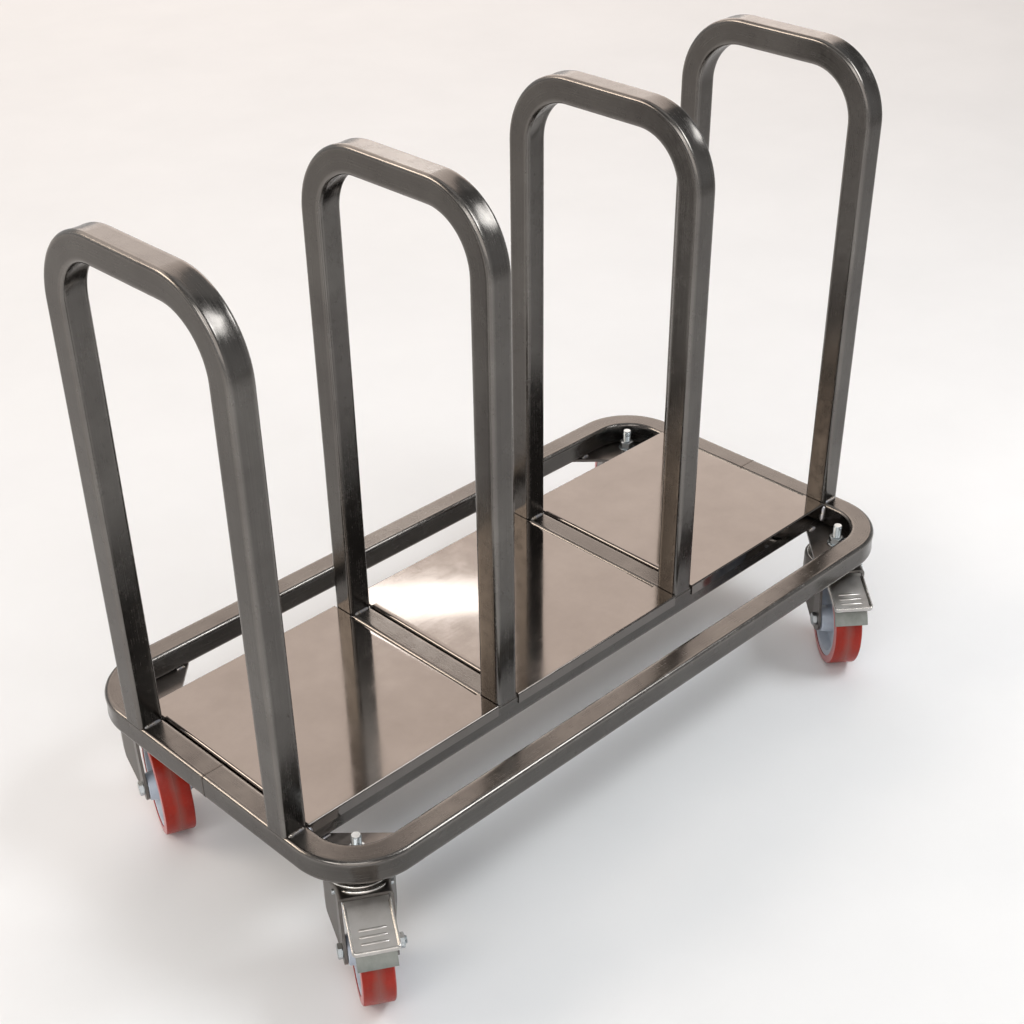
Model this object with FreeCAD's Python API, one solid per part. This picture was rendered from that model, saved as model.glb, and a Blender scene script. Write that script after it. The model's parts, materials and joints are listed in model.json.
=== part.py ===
import FreeCAD, Part
import math
import os

os.makedirs("parts", exist_ok=True)

# An ingredient bin trolley: a ring of square tube on four swivel castors, a sheet deck in
# three bays inside the ring, and four bent hoops that keep the bins apart.
# Millimetres. X runs along the trolley, Z is up, and the origin is on the floor under the
# middle of the ring. The near side is -Y and the left end is -X.
Vec = FreeCAD.Vector
UP = Vec(0, 0, 1)

# Square tube of the ring, hoops, rails and cross tubes
TUBE = 32.0
TUBE_WALL = 1.5
TUBE_EDGE = 5.0

# Layout of the frame, outside sizes, with bends measured on the tube's centre line
BAYS = 3
BAY_PITCH = 318.0
HOOP_WIDTH = 295.0
HOOP_HEIGHT = 614.0
HOOP_BEND = 76.0
RING_WIDTH = 502.0
RING_BEND = 70.0

# Deck panels, folded sheet laid on the inner rails
SHEET = 1.5
SHEET_BEND = 3.0
SHEET_ROUND = 1.2
SIDE_LIP = 14.0
END_LIP = 12.0
PANEL_GAP = 1.0
WELD_LEG = 4.0

# Corner plates under the ring, and where the castors stand in from the ring's outside
PLATE = 4.0
PLATE_EDGE_TO_PIVOT = 35.0
CASTOR_IN_FROM_END = 60.0
CASTOR_IN_FROM_SIDE = 58.0

# Castor wheel
WHEEL = 125.0
TREAD_WIDTH = 37.0
TREAD_DEPTH = 10.5
TREAD_ROUND = 2.5
HUB_RIM = 7.0
HUB_RIM_STEP = 1.0
HUB_WEB = 9.0
HUB_BOSS = 34.0
HUB_DRAFT = 3.0
TRAIL = 47.0
SLEEVE = 15.0
AXLE = 10.0
AXLE_HEX = 16.0
AXLE_HEAD = 6.0
AXLE_NUT = 8.0
AXLE_SHOWS = 2.5

# Castor fork, pressed from one sheet, and the swivel head above it
FORK_SHEET = 3.5
FORK_GAP = 53.0
FORK_SHOULDER = 39.5
FORK_KNEE = 18.0
FORK_PRESS = 5.0
FORK_END = 18.0
CROWN = 40.0
CROWN_FRONT = 47.0
RACE = 32.0
RACE_RIM = 4.0
RACE_SHEET = 5.0
RACE_SKIRT = 3.0
LOWER_RACE = 18.0
LOWER_SHEET = 3.0
KING_SLEEVE = 18.0
BALL = 6.0
BALL_RING = 22.0
BALL_COUNT = 14
BALL_GROOVE = 1.0
KING = 12.0
KING_HEX = 18.0
KING_HEAD = 4.5
KING_NUT = 10.0
KING_SHOWS = 17.0
KING_CHAMFER = 1.0
WASHER = 24.0
WASHER_SHEET = 2.5

# Brake pedal and shoe
PEDAL_WIDTH = 52.0
PEDAL_LENGTH = 63.0
PEDAL_SHEET = 2.5
PEDAL_RIM = 4.0
PEDAL_CORNER = 5.0
PEDAL_SLOPE = 12.5
PEDAL_OUT = 53.0
PEDAL_DROP = 2.0
PEDAL_ARM = 2.5
PEDAL_ARM_ROOT = 20.0
PEDAL_BOSS = 5.0
PIN = 6.0
PIN_OUT = 24.0
PIN_DROP = 6.0
PIN_SHOWS = 2.0
SHOE_WIDTH = 44.0
SHOE_SHEET = 3.0
SHOE_GAP = 8.4
SHOE_START_ANGLE = 26.0
SHOE_END_ANGLE = 66.0

# Clearances
WHEEL_TOP_GAP = 3.0
RUN_GAP = 0.5
RUN_FIT = 0.06
BOLT_FIT = 0.4
BALL_FIT = 0.05
HUB_END_GAP = 1.0
ARM_GAP = 1.5

# Each castor: name, end of the trolley, side of the trolley, swivel angle, and whether it has a brake
CASTORS = [
    ("near_left", -1, -1, -31.5, True),
    ("near_right", 1, -1, -40.0, True),
    ("far_left", -1, 1, -22.5, False),
    ("far_right", 1, 1, 148.0, False),
]

# Heights, stacked from the floor
AXLE_Z = WHEEL / 2
KING_HEAD_Z = WHEEL + WHEEL_TOP_GAP
LOWER_RACE_Z = KING_HEAD_Z + KING_HEAD
CROWN_Z = LOWER_RACE_Z + LOWER_SHEET + RUN_GAP
CROWN_TOP = CROWN_Z + FORK_SHEET
BALL_Z = CROWN_TOP - BALL_GROOVE + BALL / 2 + BALL_FIT
RACE_Z = BALL_Z + BALL / 2 + RUN_GAP
PLATE_Z = RACE_Z + RACE_SHEET
RING_BOTTOM = PLATE_Z + PLATE
RING_MIDDLE = RING_BOTTOM + TUBE / 2
RING_TOP = RING_BOTTOM + TUBE
DECK_TOP = RING_TOP + SHEET

# Centre lines in plan
HOOP_XS = [BAY_PITCH * (i - BAYS / 2) for i in range(BAYS + 1)]
END_X = HOOP_XS[-1]
RAIL_Y = (HOOP_WIDTH - TUBE) / 2
RING_Y = (RING_WIDTH - TUBE) / 2
PIVOT_X = END_X + TUBE / 2 - CASTOR_IN_FROM_END
PIVOT_Y = RING_WIDTH / 2 - CASTOR_IN_FROM_SIDE

# Half the fork's width over the cheeks, at the axle
FORK_OUTSIDE = FORK_GAP / 2 + FORK_SHEET


def corner(before, point, after, radius):
    """The start, middle and end of the arc that rounds one corner of an outline."""
    back = (before - point).normalize()
    ahead = (after - point).normalize()
    half = back.getAngle(ahead) / 2
    inward = (back + ahead).normalize()
    run = radius / math.tan(half)
    centre = point + inward * (radius / math.sin(half))
    return point + back * run, centre - inward * radius, point + ahead * run


def rounded_wire(points, radii, closed=True):
    """Straight runs joined by tangent arcs. A radius of 0 leaves its corner sharp."""
    count = len(points)
    edges = []
    here = None
    first = None
    for i, point in enumerate(points):
        inside = closed or 0 < i < count - 1
        if inside and radii[i] > 0:
            start, middle, end = corner(points[i - 1], point, points[(i + 1) % count], radii[i])
        else:
            start, middle, end = point, None, point
        if here is None:
            first = start
        else:
            edges.append(Part.makeLine(here, start))
        if middle is not None:
            edges.append(Part.Arc(start, middle, end).toShape())
        here = end
    if closed:
        edges.append(Part.makeLine(here, first))
    return Part.Wire(edges)


def prism(points, radii, along):
    """A closed outline pushed along a vector."""
    return Part.Face(rounded_wire(points, radii)).extrude(along)


def square_section(centre, across, over, size, radius):
    """A square face with rounded corners, centred on a point."""
    a = across * (size / 2)
    b = over * (size / 2)
    points = [centre - a - b, centre + a - b, centre + a + b, centre - a + b]
    return Part.Face(rounded_wire(points, [radius] * 4))


def tube(points, bend, across, over):
    """Hollow square tube along straight runs with bends between them."""
    path = rounded_wire(points, [bend] * len(points), closed=False)
    outside = path.makePipe(square_section(points[0], across, over, TUBE, TUBE_EDGE))
    bore = path.makePipe(
        square_section(points[0], across, over, TUBE - 2 * TUBE_WALL, TUBE_EDGE - TUBE_WALL)
    )
    return outside.cut(bore)


def hexagon(across_flats, base, height, axis):
    """A hexagon prism on an axis that runs along X or Z."""
    radius = across_flats / math.sqrt(3)
    side = Vec(0, 1, 0)
    other = axis.cross(side)
    points = []
    for i in range(6):
        turn = math.radians(60 * i)
        points.append(base + side * (radius * math.cos(turn)) + other * (radius * math.sin(turn)))
    return prism(points, [0] * 6, axis * height)


def turned(profile, centre, axis):
    """A profile swept a full turn about an axis."""
    return Part.Face(rounded_wire(profile, [0] * len(profile))).revolve(centre, axis, 360)


def save(name, shape):
    shape.exportStep("parts/" + name + ".step")


# Ring: two bent halves that meet in the middle of the end tubes
def ring_half(side):
    points = [
        Vec(-END_X, 0, RING_MIDDLE),
        Vec(-END_X, side * RING_Y, RING_MIDDLE),
        Vec(END_X, side * RING_Y, RING_MIDDLE),
        Vec(END_X, 0, RING_MIDDLE),
    ]
    return tube(points, RING_BEND, Vec(1, 0, 0), UP)


save("ring_near_half", ring_half(-1))
save("ring_far_half", ring_half(1))


# Hoops: one bent tube each, standing on the end tubes or on the inner rails
def hoop(x):
    top = RING_TOP + HOOP_HEIGHT - TUBE / 2
    points = [
        Vec(x, -RAIL_Y, RING_TOP),
        Vec(x, -RAIL_Y, top),
        Vec(x, RAIL_Y, top),
        Vec(x, RAIL_Y, RING_TOP),
    ]
    return tube(points, HOOP_BEND, Vec(1, 0, 0), Vec(0, 1, 0))


for number, hoop_x in enumerate(HOOP_XS, 1):
    save("hoop_%d" % number, hoop(hoop_x))

# Inner rails run between the end tubes, and cross tubes run between the rails
rail_end = END_X - TUBE / 2
for rail_name, side in (("inner_rail_near", -1), ("inner_rail_far", 1)):
    rail_points = [Vec(-rail_end, side * RAIL_Y, RING_MIDDLE), Vec(rail_end, side * RAIL_Y, RING_MIDDLE)]
    save(rail_name, tube(rail_points, 0, Vec(0, 1, 0), UP))

cross_end = RAIL_Y - TUBE / 2
for number, hoop_x in enumerate(HOOP_XS[1:-1], 1):
    cross_points = [Vec(hoop_x, -cross_end, RING_MIDDLE), Vec(hoop_x, cross_end, RING_MIDDLE)]
    save("cross_tube_%d" % number, tube(cross_points, 0, Vec(1, 0, 0), UP))


# Deck panels: side lips hang outside the rails, and end lips drop beside the cross tubes
def deck_panel(left_hoop, right_hoop):
    start = left_hoop + TUBE / 2 + PANEL_GAP
    end = right_hoop - TUBE / 2 - PANEL_GAP
    inner = HOOP_WIDTH / 2
    outer = inner + SHEET
    low = DECK_TOP - SIDE_LIP
    section = [
        (-outer, low, 0),
        (-outer, DECK_TOP, SHEET_BEND),
        (outer, DECK_TOP, SHEET_BEND),
        (outer, low, 0),
        (inner, low, 0),
        (inner, RING_TOP, SHEET_BEND - SHEET),
        (-inner, RING_TOP, SHEET_BEND - SHEET),
        (-inner, low, 0),
    ]
    outline = [Vec(start, y, z) for y, z, radius in section]
    panel = prism(outline, [radius for y, z, radius in section], Vec(end - start, 0, 0))
    lip_half = cross_end - PANEL_GAP
    for lip_x in (start, end - SHEET):
        lip = Part.makeBox(SHEET, 2 * lip_half, END_LIP, Vec(lip_x, -lip_half, DECK_TOP - END_LIP))
        panel = panel.fuse(lip)
    panel = panel.removeSplitter()
    rims = []
    for edge in panel.Edges:
        box = edge.BoundBox
        if box.XLength < 0.01 and box.ZMin > DECK_TOP - 0.01 and box.YLength > HOOP_WIDTH / 2:
            rims.append(edge)
    return panel.makeFillet(SHEET_ROUND, rims)


for number in range(BAYS):
    save("deck_panel_%d" % (number + 1), deck_panel(HOOP_XS[number], HOOP_XS[number + 1]))

# Fillet welds on the flat top of the tubes, against the hoops' legs
beads = []
bead_length = TUBE - 2 * TUBE_EDGE
for hoop_x in HOOP_XS:
    at_end = abs(hoop_x) > END_X - 1
    for side in (-1, 1):
        faces = [(RAIL_Y - TUBE / 2, -1)]
        if at_end:
            faces.append((RAIL_Y + TUBE / 2, 1))
        for y, away in faces:
            bead_start = hoop_x - bead_length / 2
            bead = [
                Vec(bead_start, side * y, RING_TOP),
                Vec(bead_start, side * (y + away * WELD_LEG), RING_TOP),
                Vec(bead_start, side * y, RING_TOP + WELD_LEG),
            ]
            beads.append(prism(bead, [0] * 3, Vec(bead_length, 0, 0)))
save("hoop_weld_beads", Part.makeCompound(beads))


# Corner plates: welded under the ring and the inner rail, with a diagonal inner edge
def corner_plate(end, side):
    diagonal = PIVOT_X + PIVOT_Y - PLATE_EDGE_TO_PIVOT * math.sqrt(2)
    outline = [
        (END_X, RAIL_Y, 0),
        (diagonal - RAIL_Y, RAIL_Y, 0),
        (diagonal - RING_Y, RING_Y, 0),
        (END_X, RING_Y, RING_BEND),
    ]
    points = [Vec(end * x, side * y, PLATE_Z) for x, y, radius in outline]
    plate = prism(points, [radius for x, y, radius in outline], UP * PLATE)
    pivot = Vec(end * PIVOT_X, side * PIVOT_Y, PLATE_Z)
    return plate.cut(Part.makeCylinder(KING / 2 + BOLT_FIT, PLATE, pivot))


# Fixed half of the swivel head, on the pivot's axis
def top_race():
    bore = KING / 2 + BOLT_FIT
    skirt = RACE_Z - RACE_SKIRT
    profile = [
        Vec(bore, 0, PLATE_Z),
        Vec(RACE, 0, PLATE_Z),
        Vec(RACE, 0, skirt),
        Vec(RACE - RACE_RIM, 0, skirt),
        Vec(RACE - RACE_RIM, 0, RACE_Z),
        Vec(bore, 0, RACE_Z),
    ]
    return turned(profile, Vec(), UP)


def lower_race():
    """A flanged sleeve: the crown turns on its neck, and the flange holds the fork up."""
    bore = KING / 2 + BOLT_FIT
    neck = KING_SLEEVE / 2
    flange_top = LOWER_RACE_Z + LOWER_SHEET
    profile = [
        Vec(bore, 0, LOWER_RACE_Z),
        Vec(LOWER_RACE, 0, LOWER_RACE_Z),
        Vec(LOWER_RACE, 0, flange_top),
        Vec(neck, 0, flange_top),
        Vec(neck, 0, RACE_Z),
        Vec(bore, 0, RACE_Z),
    ]
    return turned(profile, Vec(), UP)


def king_bolt():
    shank_end = RING_BOTTOM + WASHER_SHEET + KING_NUT + KING_SHOWS
    shank = Part.makeCylinder(KING / 2, shank_end - LOWER_RACE_Z, Vec(0, 0, LOWER_RACE_Z))
    shank = shank.makeChamfer(KING_CHAMFER, [shank.Edges[0]])
    return hexagon(KING_HEX, Vec(0, 0, KING_HEAD_Z), KING_HEAD, UP).fuse(shank).removeSplitter()


def king_washer():
    disc = Part.makeCylinder(WASHER / 2, WASHER_SHEET, Vec(0, 0, RING_BOTTOM))
    return disc.cut(Part.makeCylinder(KING / 2 + BOLT_FIT, WASHER_SHEET, Vec(0, 0, RING_BOTTOM)))


def king_nut():
    base = Vec(0, 0, RING_BOTTOM + WASHER_SHEET)
    return hexagon(KING_HEX, base, KING_NUT, UP).cut(Part.makeCylinder(KING / 2, KING_NUT, base))


# Fork: a pressed cap with two cheeks that draw in from the crown to the axle
def fork_cap(inset, top, press):
    """The fork's outside, or the space inside it one sheet further in, as a block."""
    shoulder = FORK_SHOULDER - inset
    cheek = FORK_OUTSIDE - inset
    right = [
        (cheek, TRAIL + WHEEL, 0),
        (cheek, TRAIL - FORK_END, FORK_KNEE + inset),
        (shoulder, 0, FORK_KNEE - inset),
        (shoulder, -shoulder, shoulder - FORK_KNEE / 3),
    ]
    outline = right + [(-x, out, radius) for x, out, radius in reversed(right)]
    points = [Vec(x, -out, 0) for x, out, radius in outline]
    block = prism(points, [radius for x, out, radius in outline], UP * top)
    rim = [edge for edge in block.Edges if edge.BoundBox.ZMin > top - 0.01]
    return block.makeFillet(press, rim)


def fork(braked):
    deep = 4 * WHEEL
    sheet = fork_cap(0, CROWN_TOP, FORK_PRESS).cut(fork_cap(FORK_SHEET, CROWN_Z, FORK_PRESS - FORK_SHEET))
    side_outline = [
        (-CROWN, CROWN_TOP + 1, 0),
        (CROWN_FRONT, CROWN_TOP + 1, 0),
        (CROWN_FRONT + FORK_SHEET, CROWN_Z - FORK_END, FORK_END),
        (TRAIL + FORK_END, AXLE_Z - FORK_END, FORK_END * 0.98),
        (TRAIL - FORK_END, AXLE_Z - FORK_END, FORK_END * 0.98),
        (-CROWN, CROWN_Z - FORK_SHEET, FORK_SHEET),
    ]
    side_points = [Vec(-WHEEL, -out, z) for out, z, radius in side_outline]
    body = sheet.common(prism(side_points, [radius for out, z, radius in side_outline], Vec(2 * WHEEL, 0, 0)))
    flare = Part.makeCone(2 * CROWN, CROWN, CROWN, Vec(0, 0, CROWN_TOP - CROWN))
    below = Part.makeCylinder(deep, CROWN_TOP - CROWN)
    tongue = Part.makeBox(2 * FORK_OUTSIDE, deep, CROWN_TOP, Vec(-FORK_OUTSIDE, -deep, 0))
    body = body.common(flare.fuse(below).fuse(tongue))
    body = body.cut(Part.makeCylinder(KING_SLEEVE / 2 + BOLT_FIT, deep))
    groove_z = BALL_Z + BALL_FIT
    body = body.cut(Part.makeTorus(BALL_RING, BALL / 2 + 2 * BALL_FIT, Vec(0, 0, groove_z)))
    body = body.cut(
        Part.makeCylinder(AXLE / 2 + BOLT_FIT / 2, deep, Vec(-deep / 2, -TRAIL, AXLE_Z), Vec(1, 0, 0))
    )
    if braked:
        body = body.cut(Part.makeCylinder(PIN / 2, deep, Vec(-deep / 2, -PIN_OUT, PIN_Z), Vec(1, 0, 0)))
    return body


def race_balls():
    balls = []
    for i in range(BALL_COUNT):
        turn = 2 * math.pi * i / BALL_COUNT
        balls.append(
            Part.makeSphere(BALL / 2, Vec(BALL_RING * math.cos(turn), BALL_RING * math.sin(turn), BALL_Z))
        )
    return Part.makeCompound(balls)


# Axle pieces, clamped across the fork
AXLE_MIDDLE = Vec(0, -TRAIL, AXLE_Z)
ALONG_AXLE = Vec(1, 0, 0)


def axle_sleeve():
    start = AXLE_MIDDLE - ALONG_AXLE * (FORK_GAP / 2)
    outside = Part.makeCylinder(SLEEVE / 2, FORK_GAP, start, ALONG_AXLE)
    return outside.cut(Part.makeCylinder(AXLE / 2 + BOLT_FIT / 2, FORK_GAP, start, ALONG_AXLE))


def axle_bolt():
    head = hexagon(AXLE_HEX, AXLE_MIDDLE - ALONG_AXLE * (FORK_OUTSIDE + AXLE_HEAD), AXLE_HEAD, ALONG_AXLE)
    length = 2 * FORK_OUTSIDE + AXLE_NUT + AXLE_SHOWS
    shank = Part.makeCylinder(AXLE / 2, length, AXLE_MIDDLE - ALONG_AXLE * FORK_OUTSIDE, ALONG_AXLE)
    return head.fuse(shank).removeSplitter()


def axle_nut():
    base = AXLE_MIDDLE + ALONG_AXLE * FORK_OUTSIDE
    nut = hexagon(AXLE_HEX, base, AXLE_NUT, ALONG_AXLE)
    return nut.cut(Part.makeCylinder(AXLE / 2, AXLE_NUT, base, ALONG_AXLE))


# Wheel: a hub with a rim, a web and a boss, and a tread bonded round the rim
HUB = WHEEL / 2 - TREAD_DEPTH
RIM_HALF = TREAD_WIDTH / 2 - HUB_RIM_STEP


def about_axle(profile):
    return turned([AXLE_MIDDLE + Vec(x, 0, r) for x, r in profile], AXLE_MIDDLE, ALONG_AXLE)


def wheel_hub():
    bore = SLEEVE / 2 + RUN_FIT
    boss_half = FORK_GAP / 2 - HUB_END_GAP
    boss = HUB_BOSS / 2
    web = HUB_WEB / 2
    rim = HUB - HUB_RIM
    right = [
        (boss_half, bore),
        (boss_half, boss),
        (web, boss + HUB_DRAFT),
        (web, rim - HUB_DRAFT),
        (RIM_HALF, rim),
        (RIM_HALF, HUB),
    ]
    return about_axle(right + [(-x, r) for x, r in reversed(right)])


def wheel_tread():
    half = TREAD_WIDTH / 2
    outside = WHEEL / 2
    section = [(-half, HUB, 0), (half, HUB, 0), (half, outside, TREAD_ROUND), (-half, outside, TREAD_ROUND)]
    points = [AXLE_MIDDLE + Vec(x, 0, r) for x, r, radius in section]
    face = Part.Face(rounded_wire(points, [radius for x, r, radius in section]))
    return face.revolve(AXLE_MIDDLE, ALONG_AXLE, 360)


# Brake: a rimmed pedal on a pin through the fork, with a curved shoe welded under it
PIN_Z = CROWN_Z - PIN_DROP
PEDAL_Z = CROWN_Z - PEDAL_DROP


def tilted(shape):
    """From the pedal's own frame, with its inner edge at the origin, to the castor's."""
    moved = shape.copy()
    moved.rotate(Vec(), Vec(1, 0, 0), PEDAL_SLOPE)
    moved.translate(Vec(0, -PEDAL_OUT, PEDAL_Z))
    return moved


def on_pedal(out, height):
    slope = math.radians(PEDAL_SLOPE)
    y = -out * math.cos(slope) - height * math.sin(slope)
    z = -out * math.sin(slope) + height * math.cos(slope)
    return Vec(0, y - PEDAL_OUT, z + PEDAL_Z)


def pedal_tray(width, length, radius, low, height):
    points = [
        Vec(-width / 2, 0, low),
        Vec(width / 2, 0, low),
        Vec(width / 2, -length, low),
        Vec(-width / 2, -length, low),
    ]
    return prism(points, [0, 0, radius, radius], UP * height)


def brake_pedal():
    block = pedal_tray(PEDAL_WIDTH, PEDAL_LENGTH, PEDAL_CORNER, -PEDAL_SHEET, PEDAL_SHEET + PEDAL_RIM)
    pocket = pedal_tray(
        PEDAL_WIDTH - 2 * PEDAL_SHEET,
        PEDAL_LENGTH - PEDAL_SHEET,
        PEDAL_CORNER - PEDAL_SHEET,
        0,
        PEDAL_RIM,
    )
    pedal = tilted(block.cut(pocket))
    pin = Vec(0, -PIN_OUT, PIN_Z)
    arm_outside = FORK_GAP / 2 - ARM_GAP
    for arm_x in (-arm_outside, arm_outside - PEDAL_ARM):
        shift = Vec(arm_x, 0, 0)
        arm = [
            pin + Vec(0, 0, PEDAL_BOSS),
            on_pedal(PEDAL_SHEET / 2, -PEDAL_SHEET / 2),
            on_pedal(PEDAL_ARM_ROOT, -PEDAL_SHEET / 2),
            pin - Vec(0, 0, PEDAL_BOSS),
        ]
        pedal = pedal.fuse(prism([point + shift for point in arm], [0] * 4, Vec(PEDAL_ARM, 0, 0)))
        pedal = pedal.fuse(Part.makeCylinder(PEDAL_BOSS, PEDAL_ARM, pin + shift, Vec(1, 0, 0)))
    bore_start = pin - Vec(PEDAL_WIDTH, 0, 0)
    pedal = pedal.cut(Part.makeCylinder(PIN / 2 + RUN_FIT, 2 * PEDAL_WIDTH, bore_start, Vec(1, 0, 0)))
    return pedal.removeSplitter()


def brake_shoe():
    inside = WHEEL / 2 + SHOE_GAP
    outside = inside + SHOE_SHEET
    start = AXLE_MIDDLE - Vec(SHOE_WIDTH / 2, 0, 0)
    ring = Part.makeCylinder(outside, SHOE_WIDTH, start, Vec(1, 0, 0))
    ring = ring.cut(Part.makeCylinder(inside, SHOE_WIDTH, start, Vec(1, 0, 0)))
    sector = [start]
    for angle in (SHOE_START_ANGLE, (SHOE_START_ANGLE + SHOE_END_ANGLE) / 2, SHOE_END_ANGLE):
        turn = math.radians(angle)
        sector.append(start + Vec(0, -math.cos(turn), math.sin(turn)) * (2 * outside))
    shoe = ring.common(prism(sector, [0] * 4, Vec(SHOE_WIDTH, 0, 0)))
    above = Part.makeBox(2 * WHEEL, 4 * WHEEL, WHEEL, Vec(-WHEEL, -2 * WHEEL, -PEDAL_SHEET))
    return shoe.cut(tilted(above))


def brake_pin():
    spread = (FORK_SHOULDER - FORK_OUTSIDE) * (1 - PIN_OUT / (TRAIL - FORK_END))
    half = FORK_OUTSIDE + spread + PIN_SHOWS
    return Part.makeCylinder(PIN / 2, 2 * half, Vec(-half, -PIN_OUT, PIN_Z), Vec(1, 0, 0))


# Place each castor at its corner, turned to its own angle
def placed(shape, end, side, angle):
    moved = shape.copy()
    moved.rotate(Vec(), UP, angle)
    moved.translate(Vec(end * PIVOT_X, side * PIVOT_Y, 0))
    return moved


fixed_groups = {
    "castor_top_races": top_race(),
    "castor_lower_races": lower_race(),
    "castor_king_bolts": king_bolt(),
    "castor_washers": king_washer(),
    "castor_king_nuts": king_nut(),
}
for group_name, piece in fixed_groups.items():
    copies = [placed(piece, end, side, angle) for name, end, side, angle, braked in CASTORS]
    save(group_name, Part.makeCompound(copies))

for name, end, side, angle, braked in CASTORS:
    save("corner_plate_" + name, corner_plate(end, side))
    pieces = {
        "fork_": fork(braked),
        "race_balls_": race_balls(),
        "axle_sleeve_": axle_sleeve(),
        "axle_bolt_": axle_bolt(),
        "axle_nut_": axle_nut(),
        "wheel_hub_": wheel_hub(),
        "wheel_tread_": wheel_tread(),
    }
    if braked:
        pieces["brake_pedal_"] = brake_pedal()
        pieces["brake_shoe_"] = brake_shoe()
        pieces["brake_pin_"] = brake_pin()
    for prefix, piece in pieces.items():
        save(prefix + name, placed(piece, end, side, angle))
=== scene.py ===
import json
import math

import bmesh
import bpy
from mathutils import Matrix, Vector


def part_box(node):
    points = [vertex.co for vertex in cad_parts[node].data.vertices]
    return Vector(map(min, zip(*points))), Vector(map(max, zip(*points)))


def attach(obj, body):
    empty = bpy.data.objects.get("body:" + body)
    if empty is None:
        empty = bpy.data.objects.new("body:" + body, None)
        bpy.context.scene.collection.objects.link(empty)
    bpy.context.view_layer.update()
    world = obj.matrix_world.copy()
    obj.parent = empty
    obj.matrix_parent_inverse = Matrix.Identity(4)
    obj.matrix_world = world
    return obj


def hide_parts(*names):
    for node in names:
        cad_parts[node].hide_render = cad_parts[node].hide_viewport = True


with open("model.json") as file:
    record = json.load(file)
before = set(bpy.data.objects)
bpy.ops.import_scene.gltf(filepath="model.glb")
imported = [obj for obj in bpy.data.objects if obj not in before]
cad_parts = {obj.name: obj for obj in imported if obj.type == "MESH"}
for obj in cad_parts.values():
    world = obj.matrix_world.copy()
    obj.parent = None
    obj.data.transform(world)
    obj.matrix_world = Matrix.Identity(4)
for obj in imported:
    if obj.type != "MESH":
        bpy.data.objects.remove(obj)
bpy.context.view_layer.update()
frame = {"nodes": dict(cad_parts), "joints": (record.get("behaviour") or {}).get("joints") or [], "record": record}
record = frame["record"]
nodes = frame["nodes"]

# The looks of an ingredient bin trolley: brushed tube, mirror sheet deck, welds and castors.
# Metres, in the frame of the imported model. X runs along the trolley and Z is up.

# Square tube: bends on the centre line, rounded edge, and how far its faces sink at a bend
HOOP_BEND = 0.076
RING_BEND = 0.070
TUBE_EDGE = 0.005
INNER_DENT = 0.0013
OUTER_DENT = 0.0008

# Deck panels: folded sheet, with side lips outside the rails and end lips beside the cross tubes
SHEET = 0.0015
SIDE_FOLD = 0.0019
END_FOLD = 0.0042
END_LIP = 0.012
LIP_GAP = 0.001

# Welds: bead sizes, where the stitches are, the pitch of the ripples, and the seams of the ring
BEAD = 0.0030
CORNER_BEAD = 0.0048
STITCH = 0.013
RAIL_STITCH_IN = 0.028
RING_STITCH_IN = 0.099
RIPPLE = 0.0016
SEAM_WIDTH = 0.0024
SEAM_PROUD = 0.0003

# Depth of a ripple and size of the tips of beads and ribs, as shares of the bead's radius.
# The higher the end power, the shorter the rounded end.
RIPPLE_DEPTH = 0.16
BEAD_TIP_SQUARED = 0.02
BEAD_END_POWER = 6
RIB_TIP = 0.1
RIB_END_POWER = 8

# Wheel: tread with its mould line and the paler band where it runs, part dust and part painted sheen, and hub with
# its rounded edges
WHEEL = 0.125
TREAD_DEPTH = 0.0105
TREAD_WIDTH = 0.037
TREAD_ROUND = 0.0028
TREAD_BAND = 0.0105
MOULD_LINE = 0.0003
MOULD_LINE_HALF = 0.0006
MOULD_LINE_FOOT = 0.0002
MOULD_LINE_CREST = 0.0001
HUB_RIM = 0.007
HUB_RIM_STEP = 0.001
HUB_WEB = 0.009
HUB_BOSS = 0.034
HUB_DRAFT = 0.003
HUB_LENGTH = 0.051
HUB_EDGE = 0.0012
HUB_FILLET = 0.0025
SLEEVE = 0.01512
SLEEVE_EDGE = 0.0005

# Axle bolt, king bolt and washer
FORK_OUTSIDE = 0.030
AXLE = 0.010
AXLE_PITCH = 0.0015
AXLE_HEX = 0.016
AXLE_HEAD = 0.006
AXLE_NUT = 0.008
AXLE_SHOWS = 0.0025
KING = 0.012
KING_PITCH = 0.00175
KING_HEX = 0.018
KING_HEAD = 0.0045
WASHER = 0.024
WASHER_EDGE = 0.0008
WASHER_BORE_EDGE = 0.0003
BOLT_FIT = 0.0004
SHANK_SUNK = 0.0005
SHANK_EDGE = 0.0002

# The flat end of a hexagon as a share of its width, and the depth of a thread as a share of its pitch
HEX_END = 0.95
THREAD_DEPTH = 0.55

# Swivel head: the upper race with its groove and rounded edges, and the pressed rims on the fork
RACE = 0.032
RACE_RIM = 0.004
RACE_SHEET = 0.005
RACE_EDGE = 0.0008
RACE_FOOT = 0.0016
RACE_FOOT_INSIDE = 0.0010
RACE_GROOVE = 0.0014
RACE_GROOVE_LIP = 0.0006
RACE_GROOVE_ROUND = 0.0004
CROWN_RIM = 0.0350
CROWN_RIB = 0.0425
CROWN_RIB_TURN = 34.0
CROWN_BEAD = 0.0024

# Brake pedal, in its own frame: inner edge at the origin, reaching towards -Y
PEDAL_WIDTH = 0.052
PEDAL_LENGTH = 0.063
PEDAL_SHEET = 0.0025
PEDAL_RIM = 0.004
PEDAL_CORNER = 0.005
PEDAL_SLOPE = 12.5
PEDAL_OUT = 0.053
PEDAL_Z = 0.134
PEDAL_ARM = 0.0025
PEDAL_ARM_ROOT = 0.020
PEDAL_ARM_OUTSIDE = 0.025
PEDAL_FLAP = 0.0085
PEDAL_BOSS = 0.005
PEDAL_BEVEL = 0.0008
PEDAL_BEVEL_ANGLE = 40.0

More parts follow.
